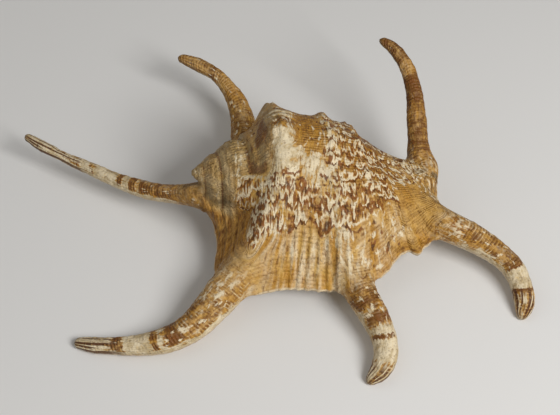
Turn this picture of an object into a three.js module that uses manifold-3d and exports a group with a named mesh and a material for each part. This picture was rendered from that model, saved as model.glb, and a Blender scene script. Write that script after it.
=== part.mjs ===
// Spider conch shell: a heavy sea-snail shell with a flared lip that grows six long curved horns.
// It lies mouth down, as such a shell is shown: the spire points to -X, the siphon end to +X, and the lip
// spreads towards -Y. Units are millimetres, +Z is up, and the surface that the shell rests on is Z = 0.
// The shell grew as one piece, so it is one solid: a coiled body, its lip and its horns are joined, and
// the hollow of the last whorl, with its long mouth, is cut out of them.

import * as THREE from "three";
import { LoftGeometry } from "three/addons/geometries/LoftGeometry.js";
import { mergeVertices } from "three/addons/utils/BufferGeometryUtils.js";
import Module from "manifold-3d";

// ---- Driving dimensions -------------------------------------------------------------------------

// The axis that the whorls turn about, from the tip of the spire to the root of the siphon canal.
const APEX = new THREE.Vector3(-32.0, 2.7, 34);
const CANAL_ROOT = new THREE.Vector3(70.0, 10.5, 19);

// The body's outline along that axis: distance from the apex, and radius there.
const BODY_OUTLINE = [
  [0, 0.9], [4, 4.7], [10, 9.8], [17, 14.5], [24, 19.6], [28.5, 24.4], [32, 27.4], [36, 27.9], [44, 26.5],
  [53, 25.3], [62, 22.9], [71, 17.8], [79, 13.0], [87, 9.8], [95, 8.3], [104, 7.4],
];
const BODY_RINGS = 34;
const BODY_SIDES = 36;

// Knobs on the shoulders of the body: distance from the apex, angle from the top towards the lip in
// degrees, height, reach along the axis and reach round it in degrees.
const KNOBS = [
  { along: 32, angle: -4, height: 4.0, reach: 4.5, turn: 17 },
  { along: 31, angle: -56, height: 4.4, reach: 4.2, turn: 17 },
  { along: 32, angle: -112, height: 2.5, reach: 4.5, turn: 17 },
  { along: 55, angle: -6, height: 1.6, reach: 3.2, turn: 12 },
  { along: 54, angle: -48, height: 1.9, reach: 3.0, turn: 13 },
  { along: 67, angle: -6, height: 2.0, reach: 3.0, turn: 12 },
  { along: 65, angle: -50, height: 2.4, reach: 2.6, turn: 13 },
  { along: 38, angle: 180, height: 2.0, reach: 13, turn: 42 }, // the belly that the shell lies on
];

// The six horns. Each row is one point of the horn's centreline and its radius there: x, y, z, radius.
// Every horn but the first and last runs on over the body as the low ridge that it grew from.
const HORNS = {
  back: [
    [-4, -16, 10, 5], [-8, -4, 9, 7], [-10.6, 14, 8, 8], [-11, 32.0, 8, 7.5], [-11, 43.1, 7, 6.5],
    [-12.2, 52.9, 10, 5.6], [-16.2, 63.3, 15, 4.5], [-22.9, 71.5, 19, 3.5], [-33.0, 76.9, 22, 2.6],
    [-40.6, 79.1, 24, 1.6],
  ],
  spire_side: [
    [-6, -10.5, 17, 7], [-15, -7.2, 18, 6.4], [-22, -4, 21.8, 5.8], [-27.5, -0.6, 22.8, 5.9],
    [-32.5, 1.2, 21, 5.3], [-38.5, 3.6, 18.6, 4.6], [-52.2, 8.9, 15, 4.05], [-67.0, 15.8, 14, 3.4],
    [-83.0, 24.3, 14, 2.75], [-97.7, 32.1, 15, 2.05], [-107.3, 37.4, 17, 1.3],
  ],
  lip_left: [
    [9.0, 0.0, 34, 5], [4.5, -9.0, 31, 6.5], [0.5, -16.5, 26, 7], [-4.0, -24.0, 20.5, 7.3],
    [-10.0, -31.5, 14.8, 7.6], [-15.9, -38.6, 11.6, 7.8], [-21.9, -46.1, 10, 7.6], [-28.2, -53.5, 8, 6.8],
    [-36.8, -59.5, 6.2, 5.8], [-46.7, -62.3, 4.9, 4.9], [-57.8, -62.9, 3.9, 3.9],
    [-68.7, -62.2, 2.9, 2.9], [-77.0, -60.4, 1.9, 1.8],
  ],
  lip_middle: [
    [22.8, 8.0, 43, 5], [24.6, -3.0, 42, 5.5], [26.4, -14.0, 34.5, 6], [29.2, -23.5, 23.5, 6.5],
    [33.3, -32.8, 15.5, 7], [38.1, -43.5, 12, 6.9], [42.9, -52.7, 10.5, 6.3], [46.4, -60.5, 8, 5.5],
    [47.1, -68.3, 5.6, 4.6], [44.6, -74.3, 3.5, 3.4], [40.9, -77.8, 2, 1.9],
  ],
  lip_right: [
    [35.5, 10, 36, 4.5], [46, 6, 30, 4.8], [56, 0.5, 24.5, 5.4], [65.3, -6.6, 20, 6.4],
    [74.9, -12.8, 18, 6.8], [85.0, -17.1, 16, 6.1], [94.1, -21.7, 13, 5.4], [101.0, -27.2, 10, 4.95],
    [104.9, -35.2, 6.5, 4.4], [105.9, -42.0, 3.8, 3.5], [104.6, -47.0, 2, 1.9],
  ],
  siphon: [
    [56.0, 7.6, 20, 8], [67.0, 11.0, 19, 7.7], [64.8, 20.2, 23, 5.7], [63.8, 27.8, 28, 4.6],
    [63.5, 36.9, 34, 4.05], [62.3, 46.0, 40, 3.6], [59.0, 55.0, 45, 2.85], [53.8, 60.7, 49, 2],
    [48.8, 63.3, 51, 1.1],
  ],
};
const HORN_SIDES = 12;
const RING_SPACING = 4.6; // along a horn
const TIP_ROUNDING = [[0, 1], [0.45, 0.88], [0.8, 0.55], [0.97, 0.2]]; // reach past the end, share of the radius

// The lip. Each row is one rib of it: the edge's x, y, z; where on the body the rib starts (distance from
// the apex, and angle from the top towards the lip in degrees); how full its slope is (0 sags like a valley,
// 1 is domed); and how deep it is at its start (0 is as thin as the lip, 1 reaches the hub floor).
const HUB_DEPTH = 1.5; // the ribs start this far below the body's skin
const LIP_RIBS = [
  [-29.5, 1.5, 20, 10, 92, 0, 0], [-28.0, -2.0, 18.5, 11, 86, 0, 0], [-25.4, -6.5, 17, 13, 84, 0, 0],
  [-22.3, -12.7, 15, 15.5, 85, 0, 0.1], [-21.8, -20.0, 12, 19.5, 91, 0, 0.2], [-22.6, -29.5, 11, 23.5, 90, 0, 0.3],
  [-22.9, -37.7, 10.5, 27, 66, 0, 0.5], [-13.6, -44.4, 10.5, 32, 30, 0.3, 0.8], [-4.7, -41.4, 11, 37.5, 6, 0.9, 1],
  [6.7, -39.3, 12, 43.5, 0, 1, 1], [17.4, -39.8, 12, 50.5, 0, 1, 1], [28.4, -40.8, 12, 56.4, 0, 1, 1],
  [36.5, -42.5, 12, 60.6, 0, 1, 1], [43.9, -36.6, 13, 64.7, 0, 1, 1], [49.6, -31.4, 14, 68.2, 0, 1, 1],
  [54.0, -25.0, 15, 71.8, 0, 1, 0.95], [58.2, -22.7, 15.5, 74.7, 0, 1, 0.85], [62.0, -24.8, 15.5, 77.1, 0, 1, 0.75],
  [64.7, -21.2, 16, 79.4, 0, 0.9, 0.65], [70.3, -17.8, 17, 83, 0, 0.8, 0.55], [75.5, -14.3, 17, 86.5, 0, 0.7, 0.45],
  [74.0, -6.8, 19, 88.9, 0, 0.6, 0.4], [72.0, 2.0, 19, 91.2, 0, 0.5, 0.35], [70.5, 11.0, 18.5, 93, 0, 0.4, 0.3],
];
const LIP_THICKNESS = { hub: 7, edge: 2.8 };
const LIP_STATIONS = 50;
const LIP_STEPS = 10; // from hub to edge, on the back of the lip and again on its underside
const DOMED = [[0, 1], [0.2, 0.98], [0.4, 0.88], [0.55, 0.69], [0.7, 0.43], [0.85, 0.18], [1, 0]];
const SAGGING = [[0, 1], [0.25, 0.71], [0.5, 0.42], [0.75, 0.17], [1, 0]];
const HUB_FLOOR = 6; // height of the lip's underside at the hub
const UNDERSIDE_ARCH = 9;

// The hollow of the last whorl, as a lens that turns about the axis from deep inside to the mouth: angle
// from the top towards the lip in degrees, distance from the axis, half length, and half thickness.
// The distance and the half thickness are shares of the body's radius, so the hollow keeps inside it.
const HOLLOW = [
  [5, 0.62, 18, 0.14], [35, 0.64, 25, 0.2], [65, 0.66, 30, 0.24], [95, 0.68, 34, 0.25],
  [122, 0.76, 37, 0.22], [143, 0.93, 39, 0.19], [158, 1.15, 40, 0.2], [168, 1.38, 41, 0.24],
];
const HOLLOW_MIDDLE = 58; // distance of the lens's middle from the apex
const HOLLOW_SIDES = 28;

const FLOOR_TRIM = 0.35; // the shell's lowest points are worn flat by this much

// ---- Curves and rings ---------------------------------------------------------------------------

const UP = new THREE.Vector3(0, 0, 1);

// A smooth curve of [position, value] pairs, read at a position.
function graph(pairs) {
  return (at) => {
    const last = pairs.length - 1;
    let i = 0;
    while (i < last - 1 && at > pairs[i + 1][0]) i++;
    const [x0, y0] = pairs[i];
    const [x1, y1] = pairs[i + 1];
    const [xa, ya] = pairs[Math.max(i - 1, 0)];
    const [xb, yb] = pairs[Math.min(i + 2, last)];
    const width = x1 - x0;
    const slope0 = ((y1 - ya) / (x1 - xa)) * width;
    const slope1 = ((yb - y0) / (xb - x0)) * width;
    const t = THREE.MathUtils.clamp((at - x0) / width, 0, 1);
    const t2 = t * t;
    const t3 = t2 * t;
    return (2 * t3 - 3 * t2 + 1) * y0 + (t3 - 2 * t2 + t) * slope0
      + (3 * t2 - 2 * t3) * y1 + (t3 - t2) * slope1;
  };
}

// Two directions across a line along `tangent`: one level, one as near to up as it can be.
function acrossFrame(tangent) {
  const level = new THREE.Vector3().crossVectors(tangent, UP).normalize();
  const upward = new THREE.Vector3().crossVectors(level, tangent).normalize();
  return { level, upward };
}

// An oval of points round a centre, anticlockwise as seen from the way that level x upward points.
function oval(centre, level, upward, levelRadius, upwardRadius, sides) {
  return Array.from({ length: sides }, (_, i) => {
    const turn = (i / sides) * 2 * Math.PI;
    return centre.clone()
      .addScaledVector(level, Math.cos(turn) * levelRadius)
      .addScaledVector(upward, Math.sin(turn) * upwardRadius);
  });
}

// The ring's end cap as one more ring, gathered to the ring's middle.
function gathered(ring) {
  const middle = ring.reduce((sum, point) => sum.add(point), new THREE.Vector3());
  return ring.map(() => middle.clone().divideScalar(ring.length));
}

// ---- The pieces of the form ---------------------------------------------------------------------

const axisLength = APEX.distanceTo(CANAL_ROOT);
const axisWay = new THREE.Vector3().subVectors(CANAL_ROOT, APEX).normalize();
const axisFrame = acrossFrame(axisWay);

// The point at an angle from the top towards the lip, round the axis.
function aboutAxis(along, angle, radius) {
  return APEX.clone()
    .addScaledVector(axisWay, along)
    .addScaledVector(axisFrame.upward, Math.cos(angle) * radius)
    .addScaledVector(axisFrame.level, Math.sin(angle) * radius);
}

function knobHeight(along, angle) {
  let height = 0;
  for (const knob of KNOBS) {
    const across = (along - knob.along) / knob.reach;
    const apart = THREE.MathUtils.euclideanModulo(angle - THREE.MathUtils.degToRad(knob.angle) + Math.PI,
      2 * Math.PI) - Math.PI;
    const round = apart / THREE.MathUtils.degToRad(knob.turn);
    height += knob.height * Math.exp(-across * across - round * round);
  }
  return height;
}

const bodyRadius = graph(BODY_OUTLINE);

// Spire, shoulder and body whorl, narrowing to the root of the siphon canal.
function body() {
  const sections = [];
  for (let i = 0; i <= BODY_RINGS; i++) {
    const along = (i / BODY_RINGS) * axisLength;
    const ring = [];
    for (let j = 0; j < BODY_SIDES; j++) {
      const angle = (-j / BODY_SIDES) * 2 * Math.PI;
      ring.push(aboutAxis(along, angle, bodyRadius(along) + knobHeight(along, angle)));
    }
    sections.push(ring);
  }
  return new LoftGeometry([gathered(sections[0]), ...sections, gathered(sections.at(-1))]);
}

// A horn: a tapering tube along a smooth line, with a blunt rounded tip.
function horn(route) {
  const line = new THREE.CatmullRomCurve3(route.map(([x, y, z]) => new THREE.Vector3(x, y, z)));
  const radiusAt = graph(route.map(([, , , radius], i) => [i / (route.length - 1), radius]));
  const rings = Math.round(line.getLength() / RING_SPACING);
  const sections = [];
  for (let i = 0; i < rings; i++) {
    const t = i / rings;
    const { level, upward } = acrossFrame(line.getTangent(t));
    sections.push(oval(line.getPoint(t), level, upward, radiusAt(t), radiusAt(t), HORN_SIDES));
  }
  const end = line.getPoint(1);
  const way = line.getTangent(1);
  const { level, upward } = acrossFrame(way);
  for (const [reach, share] of TIP_ROUNDING) {
    const radius = radiusAt(1) * share;
    const centre = end.clone().addScaledVector(way, radiusAt(1) * reach);
    sections.push(oval(centre, level, upward, radius, radius, HORN_SIDES));
  }
  return new LoftGeometry([gathered(sections[0]), ...sections, gathered(sections.at(-1))]);
}

// The lip: a fan of ribs from the hub line on the body out to the scalloped edge, closed by its underside.
function lip() {
  const last = LIP_RIBS.length - 1;
  const edge = new THREE.CatmullRomCurve3(LIP_RIBS.map(([x, y, z]) => new THREE.Vector3(x, y, z)));
  const hubAlongAt = graph(LIP_RIBS.map((rib, i) => [i / last, rib[3]]));
  const hubAngleAt = graph(LIP_RIBS.map((rib, i) => [i / last, THREE.MathUtils.degToRad(rib[4])]));
  const fullnessAt = graph(LIP_RIBS.map((rib, i) => [i / last, rib[5]]));
  const depthAt = graph(LIP_RIBS.map((rib, i) => [i / last, rib[6]]));
  const domed = graph(DOMED);
  const sagging = graph(SAGGING);
  const sections = [];
  for (let i = 0; i <= LIP_STATIONS; i++) {
    const t = i / LIP_STATIONS;
    const rim = edge.getPoint(t);
    const along = hubAlongAt(t);
    const hub = aboutAxis(along, hubAngleAt(t), bodyRadius(along) - HUB_DEPTH);
    const floor = THREE.MathUtils.lerp(hub.z - LIP_THICKNESS.hub, HUB_FLOOR, depthAt(t));
    const fullness = fullnessAt(t);
    const back = [];
    const underside = [];
    for (let k = 0; k <= LIP_STEPS; k++) {
      const out = k / LIP_STEPS;
      const share = THREE.MathUtils.lerp(sagging(out), domed(out), fullness);
      const top = hub.clone().lerp(rim, out);
      top.z = rim.z + (hub.z - rim.z) * share;
      const under = top.clone();
      under.z = THREE.MathUtils.lerp(floor, rim.z - LIP_THICKNESS.edge, out)
        + UNDERSIDE_ARCH * Math.sin(Math.PI * out);
      under.z = Math.min(under.z, top.z - THREE.MathUtils.lerp(LIP_THICKNESS.hub, LIP_THICKNESS.edge, out));
      back.push(top);
      underside.push(under);
    }
    // The edge is rounded by one point that stands a little proud of it.
    const outward = new THREE.Vector3().subVectors(rim, hub).setZ(0).normalize();
    const nose = rim.clone().addScaledVector(outward, LIP_THICKNESS.edge * 0.3)
      .setZ(rim.z - LIP_THICKNESS.edge / 2);
    const rib = [...back, nose, ...underside.reverse()];
    // The first and last ribs close onto their own back.
    const closed = [...back, rim, ...back.toReversed()];
    if (i === 0) sections.push(closed);
    sections.push(rib);
    if (i === LIP_STATIONS) sections.push(closed);
  }
  return new LoftGeometry(sections);
}

// The hollow that the animal lived in, reaching down through the mouth and past the shell's underside.
function hollow() {
  const lens = ([degrees, distance, halfLength, halfThickness]) => {
    const angle = THREE.MathUtils.degToRad(degrees);
    return Array.from({ length: HOLLOW_SIDES }, (_, i) => {
      const turn = (i / HOLLOW_SIDES) * 2 * Math.PI;
      const along = HOLLOW_MIDDLE + Math.cos(turn) * halfLength;
      return aboutAxis(along, angle, bodyRadius(along) * (distance + Math.sin(turn) * halfThickness));
    });
  };
  const closed = ([degrees, distance, halfLength]) => lens([degrees, distance, halfLength, 0]);
  return new LoftGeometry([closed(HOLLOW[0]), ...HOLLOW.map(lens), closed(HOLLOW.at(-1))]);
}

// ---- Joining ------------------------------------------------------------------------------------

const wasm = await Module();
wasm.setup();

// A three.js geometry as a solid, turned right side out if its rings were wound the other way.
function solid(geometry) {
  const bare = new THREE.BufferGeometry().setAttribute("position", geometry.getAttribute("position"));
  const merged = mergeVertices(bare.setIndex(geometry.getIndex()), 1e-4);
  const corners = merged.index.array;
  const triVerts = [];
  for (let i = 0; i < corners.length; i += 3) {
    const [a, b, c] = corners.slice(i, i + 3);
    if (a !== b && b !== c && c !== a) triVerts.push(a, b, c);
  }
  const vertProperties = merged.attributes.position.array;
  const build = () => new wasm.Manifold(new wasm.Mesh({
    numProp: 3, vertProperties, triVerts: new Uint32Array(triVerts),
  }));
  const made = build();
  if (made.volume() > 0) return made;
  triVerts.reverse();
  return build();
}

function geometryOf(manifold) {
  const mesh = manifold.getMesh();
  const geometry = new THREE.BufferGeometry();
  geometry.setAttribute("position", new THREE.BufferAttribute(mesh.vertProperties, 3));
  geometry.setIndex(new THREE.BufferAttribute(mesh.triVerts, 1));
  geometry.computeVertexNormals();
  return geometry;
}

const outside = [lip(), ...Object.values(HORNS).map(horn)]
  .reduce((whole, piece) => whole.add(solid(piece)), solid(body()));
const ground = new THREE.BoxGeometry(400, 400, 100).translate(0, 0, -50 + FLOOR_TRIM);
const form = outside.subtract(solid(hollow())).subtract(solid(ground));

// The shell is centred over the origin of its frame.
const geometry = geometryOf(form);
geometry.computeBoundingBox();
const middle = geometry.boundingBox.getCenter(new THREE.Vector3());
geometry.translate(-middle.x, -middle.y, -FLOOR_TRIM);

const shell = new THREE.Mesh(
  geometry,
  new THREE.MeshStandardMaterial({ color: 0xc59a66, roughness: 0.55, metalness: 0 }),
);
shell.name = "shell";

const conch = new THREE.Group();
conch.add(shell);

export default conch;
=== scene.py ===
"""A spider conch shell: its carved surface, its colours, and a plain studio to show it in."""

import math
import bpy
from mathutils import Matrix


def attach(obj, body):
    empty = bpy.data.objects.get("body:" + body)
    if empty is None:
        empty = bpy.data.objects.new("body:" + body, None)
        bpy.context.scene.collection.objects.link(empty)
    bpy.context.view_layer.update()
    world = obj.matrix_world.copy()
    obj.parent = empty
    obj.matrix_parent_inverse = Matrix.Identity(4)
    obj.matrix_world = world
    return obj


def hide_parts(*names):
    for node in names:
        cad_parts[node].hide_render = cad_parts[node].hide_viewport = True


bl_info = {
    "name": "Spider Conch Shell",
    "version": (1, 0, 0),
    "blender": (4, 5, 0),
    "location": "View3D > Sidebar > Conch",
    "description": "Carves and colours a spider conch shell over its solid form",
    "category": "Object",
}

from functools import reduce
from types import SimpleNamespace

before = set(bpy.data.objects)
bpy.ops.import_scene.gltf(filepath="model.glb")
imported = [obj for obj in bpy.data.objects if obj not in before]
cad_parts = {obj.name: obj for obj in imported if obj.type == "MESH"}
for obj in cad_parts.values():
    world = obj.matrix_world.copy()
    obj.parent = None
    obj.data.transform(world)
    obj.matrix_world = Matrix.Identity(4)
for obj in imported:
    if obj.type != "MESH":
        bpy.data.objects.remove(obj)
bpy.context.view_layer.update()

import bpy
import numpy as np
from mathutils import Vector
from mathutils.kdtree import KDTree

# ---- The form of the shell, in millimetres

MM = 0.001
CENTRING = np.array((-0.570, -0.534, -0.35))  # from the shell's own drawing to the centre of its box
APEX = np.array((-32.0, 2.7, 34.0)) + CENTRING
CANAL_ROOT = np.array((70.0, 10.5, 19.0)) + CENTRING
BODY_OUTLINE = (
    (0, 0.9), (4, 4.7), (10, 9.8), (17, 14.5), (24, 19.6), (28.5, 24.4), (32, 27.4), (36, 27.9),
    (44, 26.5), (53, 25.3), (62, 22.9), (71, 17.8), (79, 13), (87, 9.8), (95, 8.3), (104, 7.4),
)
# Distance from the apex, angle towards the lip, height, reach along the axis, reach round it.
KNOBS = (
    (32, -4, 4.0, 4.5, 17), (31, -56, 4.4, 4.2, 17), (32, -112, 2.5, 4.5, 17), (55, -6, 1.6, 3.2, 12),
    (54, -48, 1.9, 3.0, 13), (67, -6, 2.0, 3.0, 12), (65, -50, 2.4, 2.6, 13),
    (38, 180, 2.0, 13, 42),
)
HUB_DEPTH = 1.5
# The lip's ribs. The edge's x, y, z; the rib's start on the body, as distance from the apex and degrees
# from the top; how full its slope is; its number across the lip; and the share of the lip's growth that
# its start stands for.
LIP_RIBS = np.array((
    (-29.5, 1.5, 20, 10, 92, 0, 9, 0.75), (-28, -2, 18.5, 11, 86, 0, 12, 0.8),
    (-25.4, -6.5, 17, 13, 84, 0, 15, 0.8), (-22.3, -12.7, 15, 15.5, 85, 0, 18, 0.78),
    (-21.8, -20, 12, 19.5, 91, 0, 22, 0.7), (-22.6, -29.5, 11, 23.5, 90, 0, 27, 0.6),
    (-22.9, -37.7, 10.5, 27, 66, 0, 32, 0.42), (-13.6, -44.4, 10.5, 32, 30, 0.3, 35.8, 0.15),
    (-4.7, -41.4, 11, 37.5, 6, 0.9, 38.1, 0.02), (6.7, -39.3, 12, 43.5, 0, 1, 43.4, 0),
    (17.4, -39.8, 12, 50.5, 0, 1, 50.5, 0), (28.4, -40.8, 12, 56.4, 0, 1, 56.4, 0),
    (36.5, -42.5, 12, 60.6, 0, 1, 60.6, 0), (43.9, -36.6, 13, 64.7, 0, 1, 64.7, 0),
    (49.6, -31.4, 14, 68.2, 0, 1, 68.2, 0), (54, -25, 15, 71.8, 0, 1, 71.8, 0),
    (58.2, -22.7, 15.5, 74.7, 0, 1, 74.7, 0), (62, -24.8, 15.5, 77.1, 0, 1, 77.1, 0),
    (64.7, -21.2, 16, 79.4, 0, 0.9, 79.4, 0), (70.3, -17.8, 17, 83, 0, 0.8, 83, 0),
    (75.5, -14.3, 17, 86.5, 0, 0.7, 86.5, 0), (74, -6.8, 19, 88.9, 0, 0.6, 88.9, 0),
    (72, 2, 19, 91.2, 0, 0.5, 91.2, 0), (70.5, 11, 18.5, 93, 0, 0.4, 93, 0),
))
DOMED = ((0, 1), (0.2, 0.98), (0.4, 0.88), (0.55, 0.69), (0.7, 0.43), (0.85, 0.18), (1, 0))
SAGGING = ((0, 1), (0.25, 0.71), (0.5, 0.42), (0.75, 0.17), (1, 0))
GROWTH_LENGTH = 50.0  # the lip's growth from the top of the body to its edge

# The horns' centrelines and radii: x, y, z, radius.
HORNS = {
    "back": (
        (-4, -16, 10, 5), (-8, -4, 9, 7), (-10.6, 14, 8, 8), (-11, 32, 8, 7.5), (-11, 43.1, 7, 6.5),
        (-12.2, 52.9, 10, 5.6), (-16.2, 63.3, 15, 4.5), (-22.9, 71.5, 19, 3.5), (-33, 76.9, 22, 2.6),
        (-40.6, 79.1, 24, 1.6),
    ),
    "spire_side": (
        (-6, -10.5, 17, 7), (-15, -7.2, 18, 6.4), (-22, -4, 21.8, 5.8), (-27.5, -0.6, 22.8, 5.9),
        (-32.5, 1.2, 21, 5.3), (-38.5, 3.6, 18.6, 4.6), (-52.2, 8.9, 15, 4.05), (-67, 15.8, 14, 3.4),
        (-83, 24.3, 14, 2.75), (-97.7, 32.1, 15, 2.05), (-107.3, 37.4, 17, 1.3),
    ),
    "lip_left": (
        (9, 0, 34, 5), (4.5, -9, 31, 6.5), (0.5, -16.5, 26, 7), (-4, -24, 20.5, 7.3),
        (-10, -31.5, 14.8, 7.6), (-15.9, -38.6, 11.6, 7.8), (-21.9, -46.1, 10, 7.6),
        (-28.2, -53.5, 8, 6.8), (-36.8, -59.5, 6.2, 5.8), (-46.7, -62.3, 4.9, 4.9),
        (-57.8, -62.9, 3.9, 3.9), (-68.7, -62.2, 2.9, 2.9), (-77, -60.4, 1.9, 1.8),
    ),
    "lip_middle": (
        (22.8, 8, 43, 5), (24.6, -3, 42, 5.5), (26.4, -14, 34.5, 6), (29.2, -23.5, 23.5, 6.5),
        (33.3, -32.8, 15.5, 7), (38.1, -43.5, 12, 6.9), (42.9, -52.7, 10.5, 6.3), (46.4, -60.5, 8, 5.5),
        (47.1, -68.3, 5.6, 4.6), (44.6, -74.3, 3.5, 3.4), (40.9, -77.8, 2, 1.9),
    ),
    "lip_right": (
        (35.5, 10, 36, 4.5), (46, 6, 30, 4.8), (56, 0.5, 24.5, 5.4), (65.3, -6.6, 20, 6.4),
        (74.9, -12.8, 18, 6.8), (85, -17.1, 16, 6.1), (94.1, -21.7, 13, 5.4), (101, -27.2, 10, 4.95),
        (104.9, -35.2, 6.5, 4.4), (105.9, -42, 3.8, 3.5), (104.6, -47, 2, 1.9),
    ),
    "siphon": (
        (56, 7.6, 20, 8), (67, 11, 19, 7.7), (64.8, 20.2, 23, 5.7), (63.8, 27.8, 28, 4.6),
        (63.5, 36.9, 34, 4.05), (62.3, 46, 40, 3.6), (59, 55, 45, 2.85), (53.8, 60.7, 49, 2),
        (48.8, 63.3, 51, 1.1),
    ),
}
REAR_HORNS = [list(HORNS).index(name) for name in ("back", "siphon")]
# How far each horn stands free of the shell, from its tip.
FREE_LENGTH = {
    "back": 66.0, "spire_side": 80.0, "lip_left": 72.0, "lip_middle": 42.0, "lip_right": 52.0, "siphon": 60.0,
}
# At distances from each horn's tip, in hundredths: how white, flecked, brown and striped it is.
HORN_STAINS = {
    "back": (
        (0, 20, 10, 50, 30), (5, 10, 30, 30, 60), (15, 10, 30, 35, 30), (18, 10, 30, 70, 10),
        (22, 5, 30, 50, 0), (26, 10, 10, 20, 0), (40, 0, 30, 45, 0), (55, 5, 30, 50, 0),
        (75, 10, 20, 35, 0),
    ),
    "spire_side": (
        (0, 90, 0, 0, 100), (16, 85, 10, 10, 100), (20, 50, 30, 40, 100), (31, 45, 40, 50, 90),
        (33, 95, 0, 0, 20), (36, 60, 50, 45, 20), (38, 60, 50, 45, 0), (39.5, 95, 0, 0, 0),
        (44.5, 95, 0, 0, 0), (46, 70, 30, 20, 0), (47.5, 95, 0, 0, 0), (50, 90, 0, 0, 0),
        (51, 5, 20, 85, 0), (53, 10, 20, 75, 0), (54, 90, 0, 0, 0), (56.5, 85, 0, 0, 0),
        (57.5, 5, 20, 95, 0), (60, 10, 20, 65, 0), (61, 55, 10, 10, 0), (62.5, 0, 30, 95, 0),
        (66, 5, 30, 60, 0), (72, 0, 30, 65, 0), (85, 10, 20, 45, 0),
    ),
    "lip_left": (
        (0, 80, 0, 10, 100), (13, 75, 10, 15, 100), (16, 45, 20, 45, 90), (18, 15, 20, 70, 60),
        (21.5, 15, 20, 70, 30), (23, 95, 0, 0, 0), (33, 92, 5, 2, 0), (34.2, 20, 20, 75, 0),
        (36, 20, 20, 65, 0), (37.2, 80, 10, 10, 0), (39, 40, 30, 50, 0), (41, 5, 30, 100, 0),
        (44, 10, 30, 85, 0), (47, 35, 20, 25, 0), (52, 15, 25, 50, 0), (60, 20, 30, 55, 0),
        (66, 35, 35, 50, 0), (72, 35, 20, 25, 0),
    ),
    "lip_middle": (
        (0, 75, 10, 10, 100), (8, 70, 10, 15, 100), (9.5, 50, 30, 50, 60), (11.5, 45, 30, 50, 20),
        (13, 92, 5, 2, 0), (20.5, 92, 10, 5, 0), (21.5, 15, 40, 80, 0), (23, 20, 40, 75, 0),
        (24, 90, 10, 5, 0), (25.5, 85, 20, 10, 0), (28, 10, 40, 80, 0), (31, 10, 40, 80, 0),
        (33, 50, 40, 30, 0), (36, 10, 40, 75, 0), (42, 10, 35, 60, 0), (46, 20, 35, 50, 0),
        (52, 10, 30, 40, 0),
    ),
    "lip_right": (
        (0, 70, 10, 10, 90), (4, 40, 10, 35, 100), (12, 35, 10, 45, 100), (13.5, 10, 10, 95, 80),
        (14.7, 95, 0, 0, 0), (22.5, 88, 10, 5, 0), (24, 20, 20, 95, 0), (27, 20, 30, 70, 0),
        (34, 15, 25, 50, 0), (48, 15, 30, 40, 0), (54, 45, 70, 30, 0), (62, 50, 70, 30, 0),
    ),
    "siphon": (
        (0, 40, 10, 50, 30), (4, 5, 20, 75, 30), (15, 5, 10, 70, 20), (17, 10, 10, 30, 0),
        (22, 10, 10, 30, 0), (24, 0, 10, 90, 0), (34, 0, 10, 80, 0), (38, 0, 10, 55, 0), (52, 0, 5, 70, 0),
        (60, 5, 20, 60, 0), (68, 30, 50, 40, 0),
    ),
}


# ---- Curves, distances and smoothing

def step(values, start, end):
    """0 before start, 1 past end, and smooth between; start may be the larger."""
    t = np.clip((values - start) / (end - start), 0, 1)
    return t * t * (3 - 2 * t)


def lengths(vectors):
    return np.linalg.norm(vectors, axis=1, keepdims=True)


def hump(values, low, rise, fall, high):
    return step(values, low, rise) * step(values, high, fall)


def bell(values, middle, width):
    return np.exp(-(((values - middle) / width) ** 2))


def cubic(t, start, end, leaving, arriving):
    """The smooth way from start to end that leaves and arrives with those slopes."""
    t2, t3 = t * t, t * t * t
    return (
        (2 * t3 - 3 * t2 + 1) * start + (t3 - 2 * t2 + t) * leaving
        + (3 * t2 - 2 * t3) * end + (t3 - t2) * arriving
    )


def graph(pairs):
    """A smooth curve through (position, value) pairs."""
    xs, ys = np.array(pairs, float).T
    last = len(xs) - 1

    def read(at):
        at = np.asarray(at, float)
        i = np.clip(np.searchsorted(xs[1:last], at, side="left"), 0, last - 1)
        before, after = np.maximum(i - 1, 0), np.minimum(i + 2, last)
        width = xs[i + 1] - xs[i]
        slope0 = (ys[i + 1] - ys[before]) / (xs[i + 1] - xs[before]) * width
        slope1 = (ys[after] - ys[i]) / (xs[after] - xs[i]) * width
        return cubic(np.clip((at - xs[i]) / width, 0, 1), ys[i], ys[i + 1], slope0, slope1)

    return read


def smooth_line(points, count):
    """A smooth line through points, read at `count` even steps of its parameter."""
    points = np.asarray(points, float)
    rows = np.vstack([2 * points[0] - points[1], points, 2 * points[-1] - points[-2]])
    u = np.linspace(0, len(points) - 1, count)
    i = np.minimum(u.astype(int), len(points) - 2)
    t = (u - i)[:, None]
    p0, p1, p2, p3 = (rows[i + k] for k in range(4))
    d0, d1, d2 = (((b - a) ** 2).sum(1, keepdims=True) ** 0.25 for a, b in ((p0, p1), (p1, p2), (p2, p3)))
    slope1 = ((p1 - p0) / d0 - (p2 - p0) / (d0 + d1) + (p2 - p1) / d1) * d1
    slope2 = ((p2 - p1) / d1 - (p3 - p1) / (d1 + d2) + (p3 - p2) / d2) * d1
    return cubic(t, p1, p2, slope1, slope2)


LATTICE = 24  # random values along each side before they repeat


def lumps(points, size, seed):
    """Smooth random lumps of about that size, between -1 and 1."""
    lattice = np.random.default_rng(seed).uniform(-1, 1, (LATTICE, LATTICE, LATTICE))
    scaled = points / size
    cell = np.floor(scaled).astype(int)
    f = scaled - cell
    f = f * f * (3 - 2 * f)
    total = np.zeros(len(points))
    for corner in np.ndindex(2, 2, 2):
        weight = np.abs(1 - np.array(corner) - f).prod(1)
        total += weight * lattice[tuple(((cell + corner) % LATTICE).T)]
    return total


AXIS = (CANAL_ROOT - APEX) / np.linalg.norm(CANAL_ROOT - APEX)
LEVEL = np.cross(AXIS, (0, 0, 1))
LEVEL /= np.linalg.norm(LEVEL)
UPWARD = np.cross(LEVEL, AXIS)
body_radius = graph(BODY_OUTLINE)


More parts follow.
